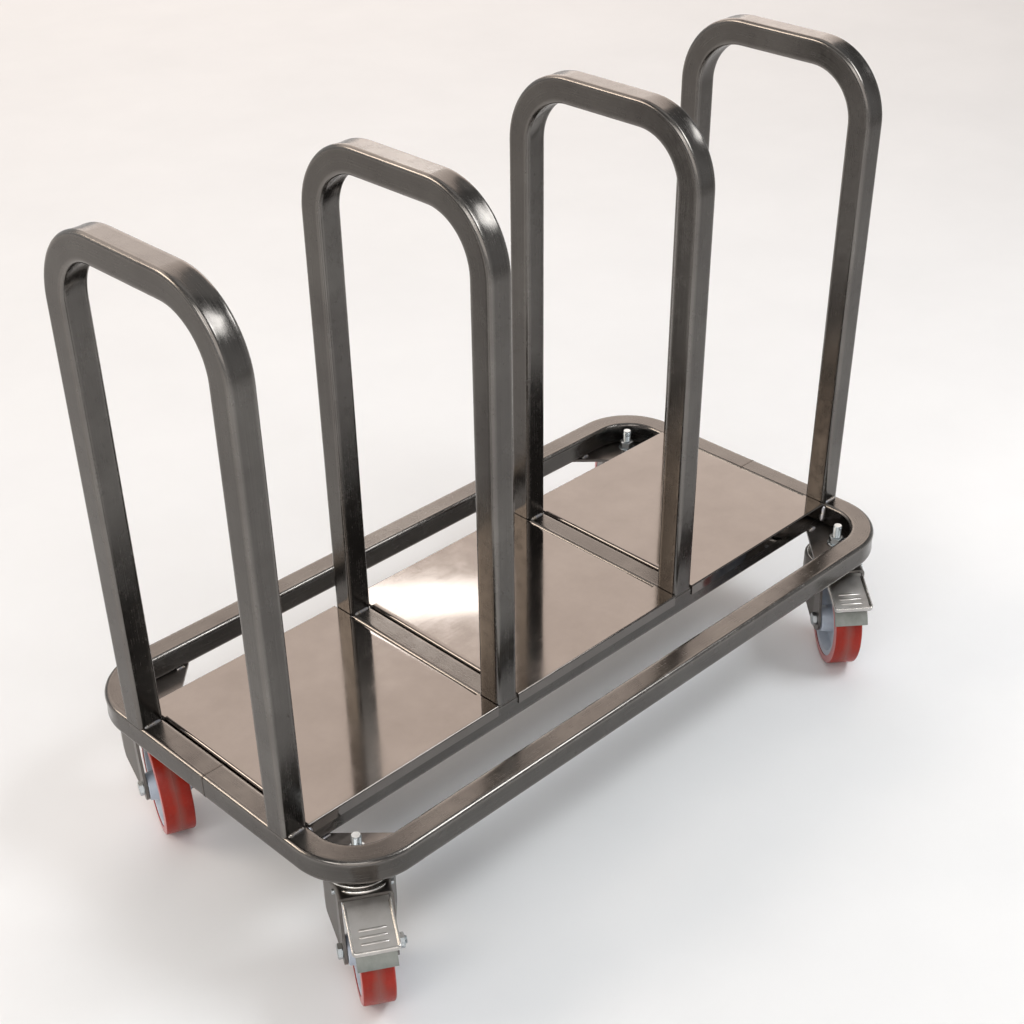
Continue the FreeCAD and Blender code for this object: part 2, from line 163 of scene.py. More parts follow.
# Grip bars on the pedal: number, radius, share of the height that is kept, chamfer, length and places
GRIP_BARS = 3
GRIP_BAR = 0.0016
GRIP_HEIGHT = 0.5
GRIP_EDGE = 0.0009
GRIP_LENGTH = 0.030
GRIP_PITCH = 0.0085
GRIP_IN = 0.013

# How finely the meshes are divided
BEND_STEPS = 24
FLAT_STEPS = 8
TUBE_EDGE_STEPS = 6
FOLD_STEPS = 6
LATHE_EDGE_STEPS = 4
BEAD_SIDES = 14
RIPPLE_ROWS = 5
WHEEL_STEPS = 128
HEX_STEPS = 72
THREAD_STEPS = 36
THREAD_ROWS = 6
PEDAL_CORNER_STEPS = 5
PEDAL_BOSS_STEPS = 12
PEDAL_BEVEL_STEPS = 3
FLOOR_STEPS = 128

# Edges that turn by more degrees than these stay sharp, and the weight of large faces in the shading
LEVEL_SHARP = 60.0
FORM_SHARP = 35.0
LARGE_FACE_WEIGHT = 80

# Tube finish: how much brighter the edges are painted, a painted highlight along the rounded edges, and the tone
# of the streaks
PAINTED_EDGE_HIGHLIGHT = 1.7
STREAK_CONTRAST = 0.5
STREAK_BASE = 0.72

# Camera, fitted to the photograph: place, aim, roll, focal length and picture centre in pixels
PICTURE = 1024
CAMERA_PLACE = Vector((-1.2153, -1.2272, 1.3678))
CAMERA_AIM = Vector((-0.1576, -0.1735, 0.2744))
CAMERA_ROLL = -0.399
FOCAL_PIXELS = 1630.52
CENTRE_PIXEL = (524.11, 648.67)

# Studio lamps: what each is aimed at, azimuth and elevation of the lamp seen from there in degrees,
# distance, size, radiance and colour
TROLLEY = Vector((0.0, 0.0, 0.3))
DECK_GLARE = Vector((-0.087, 0.075, 0.188))
LAMPS = [
    ("far_card", TROLLEY, 47.0, 30.0, 6.5, (5.5, 4.5), 2.1, (1.0, 0.85, 0.755)),
    ("far_left_card", TROLLEY, 102.0, 42.0, 6.0, (4.5, 2.9), 1.4, (1.0, 0.87, 0.785)),
    ("edge_card", TROLLEY, 136.0, 31.5, 7.5, (3.0, 1.64), 9.7, (1.0, 0.86, 0.72)),
    ("bend_softbox", TROLLEY, -48.0, 50.5, 2.7, (1.15, 0.8), 10.5, (0.97, 0.99, 1.0)),
    ("side_card", TROLLEY, -168.0, 34.0, 3.4, (1.0, 1.0), 4.6, (1.0, 0.98, 0.95)),
    ("near_card", TROLLEY, -140.0, 52.0, 3.2, (1.2, 0.9), 3.7, (1.0, 0.98, 0.96)),
    ("back_card", TROLLEY, -133.0, 28.0, 6.5, (6.0, 4.2), 1.1, (1.0, 0.93, 0.88)),
    ("top_card", TROLLEY, 45.0, 78.0, 3.2, (2.2, 2.2), 0.46, (1.0, 0.98, 0.96)),
    ("window", DECK_GLARE, 49.1, 34.4, 3.0, (0.38, 0.10), 7.8, (1.0, 0.99, 0.97)),
]

# Glow of the surroundings, and the heights of a direction between which one fades into the other
HORIZON_GLOW = 0.61
OVERHEAD_GLOW = 0.24
GLOW_FADE = (0.15, 0.60)
WHITE = (1.0, 1.0, 1.0)
FLOOR_RADIUS = 6.0

# What the frame says: the body of each node, the joints, the castors and the places of the tubes
BODY_OF = {}
for body_name, members in record["behaviour"]["bodies"].items():
    for member in members:
        BODY_OF[member] = body_name
JOINTS = {joint["name"]: joint for joint in frame["joints"]}
CASTORS = [name[len("swivel_"):] for name in JOINTS if name.startswith("swivel_")]
BRAKED = [name[len("brake_"):] for name in JOINTS if name.startswith("brake_")]
rail_low, rail_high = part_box("inner_rail_near")
TUBE = rail_high.z - rail_low.z
RING_TOP = rail_high.z
RING_BOTTOM = rail_low.z
RING_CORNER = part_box("ring_far_half")[1]
RAIL_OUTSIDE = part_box("inner_rail_far")[1].y

# A quarter of the way round the tube is one flat and one rounded edge
TUBE_FLAT = TUBE - 2 * TUBE_EDGE
TUBE_QUARTER = TUBE_FLAT + TUBE_EDGE * math.pi / 2
EDGE_MIDDLE = (TUBE_FLAT + TUBE_QUARTER) / 2

# Colour sockets of the mix node. They go by number, because its sockets share their names
MIX_FACTOR = 0
MIX_FIRST = 6
MIX_SECOND = 7
MIX_RESULT = 2


# Materials
class Nodes:
    """A short way to write a shader: most calls add one node and return one of its outputs."""

    def __init__(self, owner, shader):
        owner.use_nodes = True
        self.owner = owner
        self.tree = owner.node_tree
        self.shader = self.tree.nodes[shader]

    def feed(self, socket, value):
        """Links the socket to another node's output, or gives it a plain value."""
        if isinstance(value, bpy.types.NodeSocket):
            self.tree.links.new(value, socket)
        elif socket.type == "RGBA":
            socket.default_value = (*value, 1.0)
        else:
            socket.default_value = value

    def set(self, socket, value):
        self.feed(self.shader.inputs[socket], value)

    def add(self, kind, inputs=None, output=0, **settings):
        node = self.tree.nodes.new(kind)
        for key, value in settings.items():
            setattr(node, key, value)
        for key, value in (inputs or {}).items():
            self.feed(node.inputs[key], value)
        return node.outputs[output]

    def place(self):
        """The piece's own coordinates, in metres."""
        return self.add("ShaderNodeTexCoord", output="Object")

    def along(self):
        """Two lengths over the surface in metres, as the builder of the piece stored them."""
        return self.add("ShaderNodeTexCoord", output="UV")

    def part_of(self, vector, axis):
        return self.add("ShaderNodeSeparateXYZ", {0: vector}, output=axis)

    def stretched(self, vector, scale):
        return self.add("ShaderNodeMapping", {"Vector": vector, "Scale": scale})

    def maths(self, operation, *values):
        return self.add("ShaderNodeMath", dict(enumerate(values)), operation=operation)

    def noise(self, vector, scale, detail, roughness):
        inputs = {"Vector": vector, "Scale": scale, "Detail": detail, "Roughness": roughness}
        return self.add("ShaderNodeTexNoise", inputs)

    def between(self, value, low, high, from_low=0.3, from_high=0.7, shape="LINEAR"):
        """A value moved to another range. The range it comes from is where noise mostly lies."""
        inputs = {
            "Value": value,
            "From Min": from_low,
            "From Max": from_high,
            "To Min": low,
            "To Max": high,
        }
        return self.add("ShaderNodeMapRange", inputs, interpolation_type=shape)

    def blend(self, factor, first, second):
        """A colour between two colours."""
        inputs = {MIX_FACTOR: factor, MIX_FIRST: first, MIX_SECOND: second}
        return self.add("ShaderNodeMix", inputs, MIX_RESULT, data_type="RGBA")

    def bump(self, height, strength, distance):
        inputs = {"Height": height, "Strength": strength, "Distance": distance}
        self.set("Normal", self.add("ShaderNodeBump", inputs))


def surface(name):
    return Nodes(bpy.data.materials.new(name), "Principled BSDF")


def brushed_steel(name, dark, light, rough, streak_scale):
    """Square tube polished along its length: fine streaks, clouds, handling marks, and edges painted brighter as a
    painted highlight.
    """
    n = surface(name)
    way_round = n.part_of(n.along(), "Y")
    from_edge = n.maths("PINGPONG", n.maths("ADD", way_round, -EDGE_MIDDLE), TUBE_QUARTER / 2)
    # Painted highlight: the base colour is made brighter over the rounded edges of the tube.
    painted_edge_highlight = n.between(from_edge, PAINTED_EDGE_HIGHLIGHT, 1.0, from_low=0.3 * TUBE_EDGE, from_high=1.1 * TUBE_EDGE)
    streaks = n.noise(n.stretched(n.along(), streak_scale), scale=1.0, detail=4.0, roughness=0.65)
    clouds = n.noise(n.place(), scale=9.0, detail=4.0, roughness=0.6)
    marks = n.noise(n.place(), scale=55.0, detail=5.0, roughness=0.7)
    toned = n.blend(n.between(clouds, 0.0, 1.0), dark, light)
    streaked = n.maths("MULTIPLY_ADD", streaks, STREAK_CONTRAST, STREAK_BASE)
    shade = n.maths("MULTIPLY", streaked, painted_edge_highlight)
    n.set("Base Color", n.add("ShaderNodeVectorMath", {0: toned, "Scale": shade}, operation="SCALE"))
    n.set("Metallic", 1.0)
    smooth = n.between(streaks, *rough)
    worn = n.between(marks, low=-0.05, high=0.07, from_low=0.4, from_high=0.75)
    n.set("Roughness", n.maths("ADD", smooth, worn))
    n.bump(streaks, strength=0.12, distance=0.0002)
    return n.owner


def mirror_sheet(name, dark, light, rough, grain_scale):
    """Bright rolled sheet: nearly a mirror, with a faint grain and a slow waviness."""
    n = surface(name)
    grain = n.noise(n.stretched(n.place(), grain_scale), scale=1.0, detail=3.0, roughness=0.6)
    smears = n.noise(n.place(), scale=14.0, detail=5.0, roughness=0.65)
    waves = n.noise(n.place(), scale=5.5, detail=1.0, roughness=0.4)
    n.set("Base Color", n.blend(n.between(smears, 0.0, 1.0), dark, light))
    n.set("Metallic", 1.0)
    fine = n.between(grain, *rough)
    smeared = n.between(smears, low=0.0, high=0.05, from_low=0.45, from_high=0.7)
    n.set("Roughness", n.maths("ADD", fine, smeared))
    n.bump(waves, strength=0.35, distance=0.0012)
    return n.owner


def cast_steel(name, dark, light, rough, pitted):
    """Plain or plated steel with mottling, small pits and rubbed patches."""
    n = surface(name)
    mottle = n.noise(n.place(), scale=60.0, detail=5.0, roughness=0.65)
    pits = n.noise(n.place(), scale=420.0, detail=3.0, roughness=0.6)
    n.set("Base Color", n.blend(n.between(mottle, 0.0, 1.0), dark, light))
    n.set("Metallic", 1.0)
    n.set("Roughness", n.between(mottle, *rough))
    n.bump(pits, strength=pitted, distance=0.0003)
    return n.owner


def weld_metal(name, straw, blue, rough):
    """Weld metal with straw and blue heat tint."""
    n = surface(name)
    tint = n.noise(n.place(), scale=160.0, detail=2.0, roughness=0.5)
    grain = n.noise(n.place(), scale=900.0, detail=2.0, roughness=0.5)
    n.set("Base Color", n.blend(n.between(tint, 0.0, 1.0, from_low=0.35, from_high=0.6), straw, blue))
    n.set("Metallic", 1.0)
    n.set("Roughness", n.between(tint, *rough))
    n.bump(grain, strength=0.3, distance=0.0002)
    return n.owner


def tread_rubber(name, deep, pale, dust_and_sheen_colour, rough):
    """Red cast polyurethane: a little cloudy, with dusty scuffs and a paler band where it runs, part dust and part
    painted sheen.
    """
    n = surface(name)
    clouds = n.noise(n.place(), scale=38.0, detail=4.0, roughness=0.6)
    scuffs = n.noise(n.place(), scale=320.0, detail=4.0, roughness=0.7)
    cloudy = n.blend(n.between(clouds, 0.0, 1.0), deep, pale)
    scuffed = n.blend(n.between(scuffs, low=0.0, high=0.35, from_low=0.52, from_high=0.75), cloudy, dust_and_sheen_colour)
    from_middle = n.maths("ABSOLUTE", n.part_of(n.along(), "Y"))
    ragged = n.maths("MULTIPLY_ADD", clouds, TREAD_BAND, from_middle)
    # Partly painted sheen: the middle of the tread, where it runs, is blended towards the paler colour, part dust
    # and part sheen.
    run_band_dust_and_sheen = n.between(ragged, 0.85, 0.0, from_low=0.6 * TREAD_BAND, from_high=1.25 * TREAD_BAND)
    n.set("Base Color", n.blend(run_band_dust_and_sheen, scuffed, dust_and_sheen_colour))
    n.set("Roughness", n.between(scuffs, *rough))
    n.set("Specular IOR Level", 0.3)
    n.bump(scuffs, strength=0.12, distance=0.0003)
    return n.owner


def hub_plastic(name, dark, light, rough):
    """Pale moulded plastic with a fine texture."""
    n = surface(name)
    clouds = n.noise(n.place(), scale=45.0, detail=4.0, roughness=0.6)
    grain = n.noise(n.place(), scale=1400.0, detail=2.0, roughness=0.5)
    n.set("Base Color", n.blend(n.between(clouds, 0.0, 1.0), dark, light))
    n.set("Roughness", n.between(clouds, *rough))
    n.bump(grain, strength=0.15, distance=0.0002)
    return n.owner


def floor_paint(name, dark, light):
    """Pale matt paint with a faint speckle."""
    n = surface(name)
    speckle = n.noise(n.place(), scale=3.0, detail=4.0, roughness=0.6)
    n.set("Base Color", n.blend(n.between(speckle, 0.0, 1.0), dark, light))
    n.set("Roughness", 0.9)
    n.set("Specular IOR Level", 0.1)
    return n.owner


# Finishes: colours, range of roughness, and for steel the scale of the grain or the depth of the pits
# Painted shade: the tube steel is much darker than bare stainless, standing in for the dark surroundings its faces
# mirror.
TUBE_STEEL = brushed_steel(
    "brushed_tube", (0.092, 0.085, 0.080), (0.127, 0.120, 0.112), (0.20, 0.30), (7.0, 620.0, 1.0)
)
SHEET_STEEL = mirror_sheet(
    "mirror_sheet", (0.163, 0.149, 0.139), (0.188, 0.173, 0.162), (0.05, 0.09), (14.0, 900.0, 900.0)
)
PLATE_STEEL = cast_steel("plate_steel", (0.184, 0.167, 0.157), (0.27, 0.248, 0.232), (0.28, 0.42), 0.12)
CASTOR_STEEL = cast_steel("castor_steel", (0.14, 0.132, 0.123), (0.216, 0.203, 0.191), (0.30, 0.46), 0.15)
PEDAL_STEEL = cast_steel("pedal_steel", (0.51, 0.49, 0.465), (0.59, 0.57, 0.55), (0.30, 0.36), 0.02)
# Painted highlight: a lighter copy of the pressed steel, for the pedal's rounded edges and the crown's rims.
PAINTED_HIGHLIGHT_STEEL = cast_steel("bright_steel", (0.58, 0.56, 0.53), (0.78, 0.76, 0.72), (0.16, 0.30), 0.06)
SHOE_STEEL = cast_steel("shoe_steel", (0.195, 0.21, 0.197), (0.28, 0.297, 0.28), (0.30, 0.44), 0.1)
ZINC = cast_steel("zinc_plate", (0.37, 0.41, 0.43), (0.54, 0.58, 0.60), (0.22, 0.36), 0.08)
BEARING = cast_steel("bearing_steel", (0.42, 0.41, 0.40), (0.56, 0.55, 0.54), (0.12, 0.22), 0.03)
SEAM_STEEL = cast_steel("seam_steel", (0.081, 0.071, 0.065), (0.15, 0.135, 0.124), (0.30, 0.45), 0.2)
WELD = weld_metal("weld_metal", (0.41, 0.37, 0.32), (0.32, 0.32, 0.345), (0.22, 0.42))
TREAD = tread_rubber(
    "red_tread", (0.24, 0.010, 0.003), (0.34, 0.018, 0.006), (0.24, 0.066, 0.052), (0.30, 0.5)
)
# Painted sheen: a lighter, pinker copy of the tread for its two side faces, where they catch the light.
PAINTED_SHEEN_TREAD_SIDE = tread_rubber(
    "red_tread_side_painted_sheen", (0.46, 0.17, 0.17), (0.56, 0.25, 0.25), (0.52, 0.33, 0.34), (0.30, 0.5)
)
HUB = hub_plastic("hub_plastic", (0.40, 0.45, 0.53), (0.50, 0.55, 0.62), (0.34, 0.48))
FLOOR_PAINT = floor_paint("pale_floor", (0.80, 0.82, 0.84), (0.83, 0.85, 0.87))


# Mesh builders
def add_piece(name, vertices, faces, material, uvs=None):
    """A smooth-shaded object from plain lists. uvs holds one pair for each corner of each face."""
    mesh = bpy.data.meshes.new(name)
    mesh.from_pydata([tuple(v) for v in vertices], [], faces)
    mesh.validate()
    mesh.polygons.foreach_set("use_smooth", [True] * len(mesh.polygons))
    if uvs:
        layer = mesh.uv_layers.new(name="along")
        for face, pairs in zip(mesh.polygons, uvs):
            for corner, pair in zip(face.loop_indices, pairs):
                layer.data[corner].uv = pair
    mesh.materials.append(material)
    piece = bpy.data.objects.new(name, mesh)
    bpy.context.scene.collection.objects.link(piece)
    return piece


def level_normals(piece):
    """Keeps large flat faces flat next to small rounded ones, and sawn ends sharp."""
    piece.data.set_sharp_from_angle(angle=math.radians(LEVEL_SHARP))
    modifier = piece.modifiers.new("level", "WEIGHTED_NORMAL")
    modifier.mode = "FACE_AREA"
    modifier.weight = LARGE_FACE_WEIGHT
    modifier.keep_sharp = True


def stand_in(piece, node):
    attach(piece, BODY_OF[node])
    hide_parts(node)


def rounded(points, radii, steps, closed=True):
    """A polyline through points, with each corner turned into an arc of its own radius."""
    points = [Vector(p) for p in points]
    count = len(points)
    line = []
    for i, point in enumerate(points):
        radius = radii[i]
        inside = closed or 0 < i < count - 1
        if not inside or radius <= 0:
            line.append(point)
            continue
        back = (points[i - 1] - point).normalized()
        ahead = (points[(i + 1) % count] - point).normalized()
        half = back.angle(ahead) / 2
        outward = -(back + ahead).normalized()
        centre = point - outward * (radius / math.sin(half))
        first = point + back * (radius / math.tan(half)) - centre
        start = first.normalized()
        across = (outward - start * outward.dot(start)).normalized()
        turn = math.pi - 2 * half
        for step in range(steps + 1):
            angle = turn * step / steps
            line.append(centre + first * math.cos(angle) + across * (radius * math.sin(angle)))
    return line


def rounded_outline(corners, steps):
    """A closed outline from (across, up, radius) corners."""
    points = [(across, up) for across, up, radius in corners]
    radii = [radius for across, up, radius in corners]
    return rounded(points, radii, steps)


# No move, for forms that are made where they belong
STILL = Matrix()


class Shape:
    """Vertices and faces gathered from simple forms, to become one piece."""

    def __init__(self, forms=(), place=STILL):
        self.vertices = []
        self.faces = []
        for form in forms:
            self.add(form, place)

    def add(self, form, place=STILL):
        vertices, faces = form
        start = len(self.vertices)
        self.vertices += [place @ Vector(vertex) for vertex in vertices]
        self.faces += [tuple(start + i for i in face) for face in faces]

    def piece(self, name, material):
        piece = add_piece(name, self.vertices, self.faces, material)
        work = bmesh.new()
        work.from_mesh(piece.data)
        bmesh.ops.recalc_face_normals(work, faces=work.faces)
        work.to_mesh(piece.data)
        work.free()
        piece.data.set_sharp_from_angle(angle=math.radians(FORM_SHARP))
        return piece


def revolved(profile_at, steps, closed):
    """A line of (radius, height) pairs turned about Z. The line may change with the angle."""
    count = len(profile_at(0.0))
    vertices = []
    faces = []
    for step in range(steps):
        angle = 2 * math.pi * step / steps
        for radius, height in profile_at(angle):
            vertices.append((radius * math.cos(angle), radius * math.sin(angle), height))
        here, after = step * count, (step + 1) % steps * count
        for i in range(count if closed else count - 1):
            j = (i + 1) % count
            faces.append((here + i, after + i, after + j, here + j))
    if not closed:
        faces.append(tuple(range(0, steps * count, count)))
        faces.append(tuple(range(count - 1, steps * count, count)))
    return vertices, faces


def lathe(corners):
    """A closed outline from (radius, height, edge) corners, turned about Z."""
    outline = [tuple(point) for point in rounded_outline(corners, LATHE_EDGE_STEPS)]
    return revolved(lambda angle: outline, WHEEL_STEPS, closed=True)


def rod(radius, low, high, edge):
    """A round bar about Z with chamfered ends."""
    line = [(radius - edge, low), (radius, low + edge), (radius, high - edge), (radius - edge, high)]
    return revolved(lambda angle: line, THREAD_STEPS, closed=False)


def hexagon(across, low, high, bore=None):
    """A hexagon about Z with both ends turned to a cone, solid or with a bore."""
    flat = across / 2
    end = HEX_END * flat

    def profile_at(angle):
        corner = flat / math.cos((angle + math.pi / 6) % (math.pi / 3) - math.pi / 6)
        drop = (corner - end) * math.tan(math.pi / 6)
        line = [(end, low), (corner, low + drop), (corner, high - drop), (end, high)]
        if bore:
            line = [(bore, low)] + line + [(bore, high)]
        return line

    return revolved(profile_at, HEX_STEPS, closed=bool(bore))


def thread(radius, pitch, low, high):
    """The threaded end of a bolt about Z, tapered over its last turn."""
    rows = round((high - low) / pitch * THREAD_ROWS)
    depth = THREAD_DEPTH * pitch

    def profile_at(angle):
        line = []
        for row in range(rows + 1):
            height = low + (high - low) * row / rows
            phase = (height / pitch - angle / (2 * math.pi)) % 1.0
            taper = max(0.0, 1 - (high - height) / pitch)
            line.append((radius - depth * max(abs(2 * phase - 1), taper), height))
        return line

    return revolved(profile_at, THREAD_STEPS, closed=False)


def bolt_forms(diameter, pitch, across, head_low, head_top, nut_top, end):
    """A bolt about Z: hexagon head, shank up to the top of its nut, and threaded end."""
    return [
        hexagon(across, head_low, head_top),
        rod(diameter / 2, head_top - SHANK_SUNK, nut_top, SHANK_EDGE),
        thread(diameter / 2, pitch, nut_top - pitch, end),
    ]


def prism(outline, start, end):
    """A flat outline of (y, z) pairs pushed along X."""
    count = len(outline)
    vertices = [(x, y, z) for x in (start, end) for y, z in outline]
    faces = [(i, (i + 1) % count, count + (i + 1) % count, count + i) for i in range(count)]
    return vertices, faces + [tuple(range(count)), tuple(range(count, 2 * count))]


def round_section(radius, size, height):
    """Points round a bead of the given size, as (radius, height) pairs."""
    turns = [2 * math.pi * side / BEAD_SIDES for side in range(BEAD_SIDES)]
    return [(radius + size * math.cos(turn), height + size * math.sin(turn)) for turn in turns]


def joined_rows(vertices):
    """Rows of BEAD_SIDES points joined into a closed skin with flat ends."""
    rows = len(vertices) // BEAD_SIDES
    faces = []
    for row in range(rows - 1):
        low, high = row * BEAD_SIDES, (row + 1) * BEAD_SIDES
        for side in range(BEAD_SIDES):
            other = (side + 1) % BEAD_SIDES
            faces.append((low + side, low + other, high + other, high + side))
    faces.append(tuple(range(BEAD_SIDES)))
    faces.append(tuple(range((rows - 1) * BEAD_SIDES, rows * BEAD_SIDES)))
    return vertices, faces


def weld_bead(start, end, radius):
    """A rippled bead of weld metal along a line, with rounded ends."""
    start, end = Vector(start), Vector(end)
    length = (end - start).length
    ahead = (end - start).normalized()
    aside = ahead.orthogonal().normalized()
    over = ahead.cross(aside)
    rows = round(length / RIPPLE) * RIPPLE_ROWS
    vertices = []
    for row in range(rows + 1):
        part = row / rows
        ripple = 1 - RIPPLE_DEPTH * (part * length / RIPPLE % 1.0)
        closing = math.sqrt(max(BEAD_TIP_SQUARED, 1 - abs(2 * part - 1) ** BEAD_END_POWER))
        for sideways, up in round_section(0.0, radius * ripple * closing, 0.0):
            vertices.append(start + ahead * (part * length) + aside * sideways + over * up)
    return joined_rows(vertices)


def curved_rib(radius, half_turn, size, height):
    """A round rib along an arc about Z, to both sides of -Y, with its ends tapered down."""
    steps = math.ceil(WHEEL_STEPS * half_turn / math.pi)
    vertices = []
    for step in range(steps + 1):
        part = 2 * step / steps - 1
        turn = half_turn * part
        taper = max(RIB_TIP, 1 - part ** RIB_END_POWER)
        for out, z in round_section(radius, size * taper, height):
            vertices.append((out * math.sin(turn), -out * math.cos(turn), z))
    return joined_rows(vertices)


# Square tube
def running_lengths(points):
    """How far along a line of points each point lies."""
    lengths = [0.0]
    for before, point in zip(points, points[1:]):
        lengths.append(lengths[-1] + (point - before).length)
    return lengths


def tube_section(size):
    """Points round a square tube: along each flat from end to end, then round the edge after it."""
    half = size / 2
    reach = half - TUBE_EDGE
    outline = []
    for side in range(4):
        turn = math.pi / 2 * side
        out = Vector((math.cos(turn), math.sin(turn)))
        over = Vector((-out.y, out.x))
        for step in range(FLAT_STEPS + 1):
            part = 2 * step / FLAT_STEPS - 1
            outline.append(out * half + over * (reach * part))
        middle = out * reach + over * reach
        for step in range(1, TUBE_EDGE_STEPS):
            angle = math.pi / 2 * step / TUBE_EDGE_STEPS
            outline.append(middle + (out * math.cos(angle) + over * math.sin(angle)) * TUBE_EDGE)
    return outline


def dent_at(across, over, size, inner_side, bending):
    """How far a point of the section sinks at a bend. Only the inner and the outer face do."""
    if abs(across) <= size / 2 - TUBE_EDGE / 2:
        return 0.0
    depth = INNER_DENT if across * inner_side > 0 else OUTER_DENT
    hollow = max(0.0, 1 - (2 * over / (size - 2 * TUBE_EDGE)) ** 2)
    return math.copysign(depth * bending * hollow, across)


def swept_section(path, outline, normal, size):
    """The tube's section at each point of its path. All points but the two ends lie on bends."""
    vertices = []
    for i, point in enumerate(path):
        before = (point - path[i - 1]).normalized() if i else None
        after = (path[i + 1] - point).normalized() if i + 1 < len(path) else None
        ahead = ((before or after) + (after or before)).normalized()
        aside = normal.cross(ahead)
        mitre = 1.0
        bending = 0.0
        inner_side = 0.0
        if before and after:
            mitre = 1.0 / before.dot(ahead)
            step = (i - 1) % (BEND_STEPS + 1)
            bending = math.sin(math.pi * step / BEND_STEPS)
            inner_side = math.copysign(1.0, (after - before).dot(aside))
        for across, over in outline:
            sunk = across - dent_at(across, over, size, inner_side, bending)
            vertices.append(point + aside * (sunk * mitre) + normal * over)
    return vertices


def bent_tube(name, corners, bend, normal, size, material):
    """Square tube along straight runs with bends. It stores the way along and the way round."""
    path = rounded(corners, [bend] * len(corners), BEND_STEPS, closed=False)
    outline = tube_section(size)
    count = len(outline)
    way_along = running_lengths(path)
    way_round = running_lengths(outline + outline[:1])
    vertices = swept_section(path, outline, Vector(normal), size)
    faces = []
    uvs = []
    for row in range(len(path) - 1):
        low, high = row * count, (row + 1) * count
        near, far = way_along[row], way_along[row + 1]
        for i in range(count):
            j = (i + 1) % count
            first, second = way_round[i], way_round[i + 1]
            faces.append((low + i, low + j, high + j, high + i))
            uvs.append([(near, first), (near, second), (far, second), (far, first)])
    faces.append(tuple(reversed(range(count))))
    uvs.append([tuple(point) for point in reversed(outline)])
    faces.append(tuple(range(len(vertices) - count, len(vertices))))
    uvs.append([tuple(point) for point in outline])
    piece = add_piece(name, vertices, faces, material, uvs)
    level_normals(piece)
    return piece


def middle_of(low, high, axis):
    return (low[axis] + high[axis]) / 2


def build_hoop(node):
    low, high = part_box(node)
    x = middle_of(low, high, 0)
    left, right, top = low.y + TUBE / 2, high.y - TUBE / 2, high.z - TUBE / 2
    corners = [(x, left, low.z), (x, left, top), (x, right, top), (x, right, low.z)]
    piece = bent_tube(node + "_tube", corners, HOOP_BEND, (1, 0, 0), TUBE, TUBE_STEEL)
    stand_in(piece, node)


def build_ring_half(node, side):
    low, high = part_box(node)
    z = middle_of(low, high, 2)
    start, end = low.x + TUBE / 2, high.x - TUBE / 2
    seam = high.y if side < 0 else low.y
    out = low.y + TUBE / 2 if side < 0 else high.y - TUBE / 2
    corners = [(start, seam, z), (start, out, z), (end, out, z), (end, seam, z)]
    piece = bent_tube(node + "_tube", corners, RING_BEND, (0, 0, 1), TUBE, TUBE_STEEL)
    stand_in(piece, node)


def build_straight(node, axis):
    low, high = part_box(node)
    start = (low + high) / 2
    end = start.copy()
    start[axis], end[axis] = low[axis], high[axis]
    piece = bent_tube(node + "_tube", [start, end], 0, (0, 0, 1), TUBE, TUBE_STEEL)
    stand_in(piece, node)


HOOPS = ["hoop_1", "hoop_2", "hoop_3", "hoop_4"]
for hoop in HOOPS:
    build_hoop(hoop)
build_ring_half("ring_near_half", -1)
build_ring_half("ring_far_half", 1)
for rail in ("inner_rail_near", "inner_rail_far"):
    build_straight(rail, 0)
for cross in ("cross_tube_1", "cross_tube_2"):
    build_straight(cross, 1)


# Welds: beads at the feet of the hoops, stitches on the corner plates, and seams in the ring
def build_foot_beads():
    """Beads along the feet. The end tubes of the ring go on past the outer hoops, so those have four."""
    beads = Shape()
    reach = TUBE / 2 - TUBE_EDGE
    for hoop in HOOPS:
        low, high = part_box(hoop)
        x = middle_of(low, high, 0)
        sides = [low.y + TUBE, high.y - TUBE]
        if hoop in (HOOPS[0], HOOPS[-1]):
            sides += [low.y, high.y]
        for y in sides:
            beads.add(weld_bead((x - reach, y, RING_TOP), (x + reach, y, RING_TOP), BEAD))
    stand_in(beads.piece("foot_beads", WELD), "hoop_weld_beads")


def build_frame_stitches():
    """Beads where the rails meet the end tubes, and along the tubes on top of the corner plates."""
    stitches = Shape()
    inside = RING_CORNER.x - TUBE
    low, high = RING_BOTTOM + TUBE_EDGE, RING_TOP - TUBE_EDGE / 2
    for end in (-1, 1):
        for side in (-1, 1):
            rail_face = side * RAIL_OUTSIDE
            ring_face = side * (RING_CORNER.y - TUBE)
            corner = [(end * inside, rail_face, z) for z in (low, high)]
            stitches.add(weld_bead(*corner, CORNER_BEAD))
            for face, start in ((rail_face, inside - RAIL_STITCH_IN), (ring_face, inside - RING_STITCH_IN)):
                line = [(end * x, face, RING_BOTTOM) for x in (start, start + STITCH)]
                stitches.add(weld_bead(*line, BEAD))
    piece = stitches.piece("frame_stitches", WELD)
    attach(piece, "frame")


def build_ring_seams():
    z = (RING_BOTTOM + RING_TOP) / 2
    middle = RING_CORNER.x - TUBE / 2
    for name, x in (("ring_seam_left", -middle), ("ring_seam_right", middle)):
        line = [(x, -SEAM_WIDTH / 2, z), (x, SEAM_WIDTH / 2, z)]
        piece = bent_tube(name, line, 0, (0, 0, 1), TUBE + 2 * SEAM_PROUD, SEAM_STEEL)
        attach(piece, "frame")


build_foot_beads()
build_frame_stitches()
build_ring_seams()


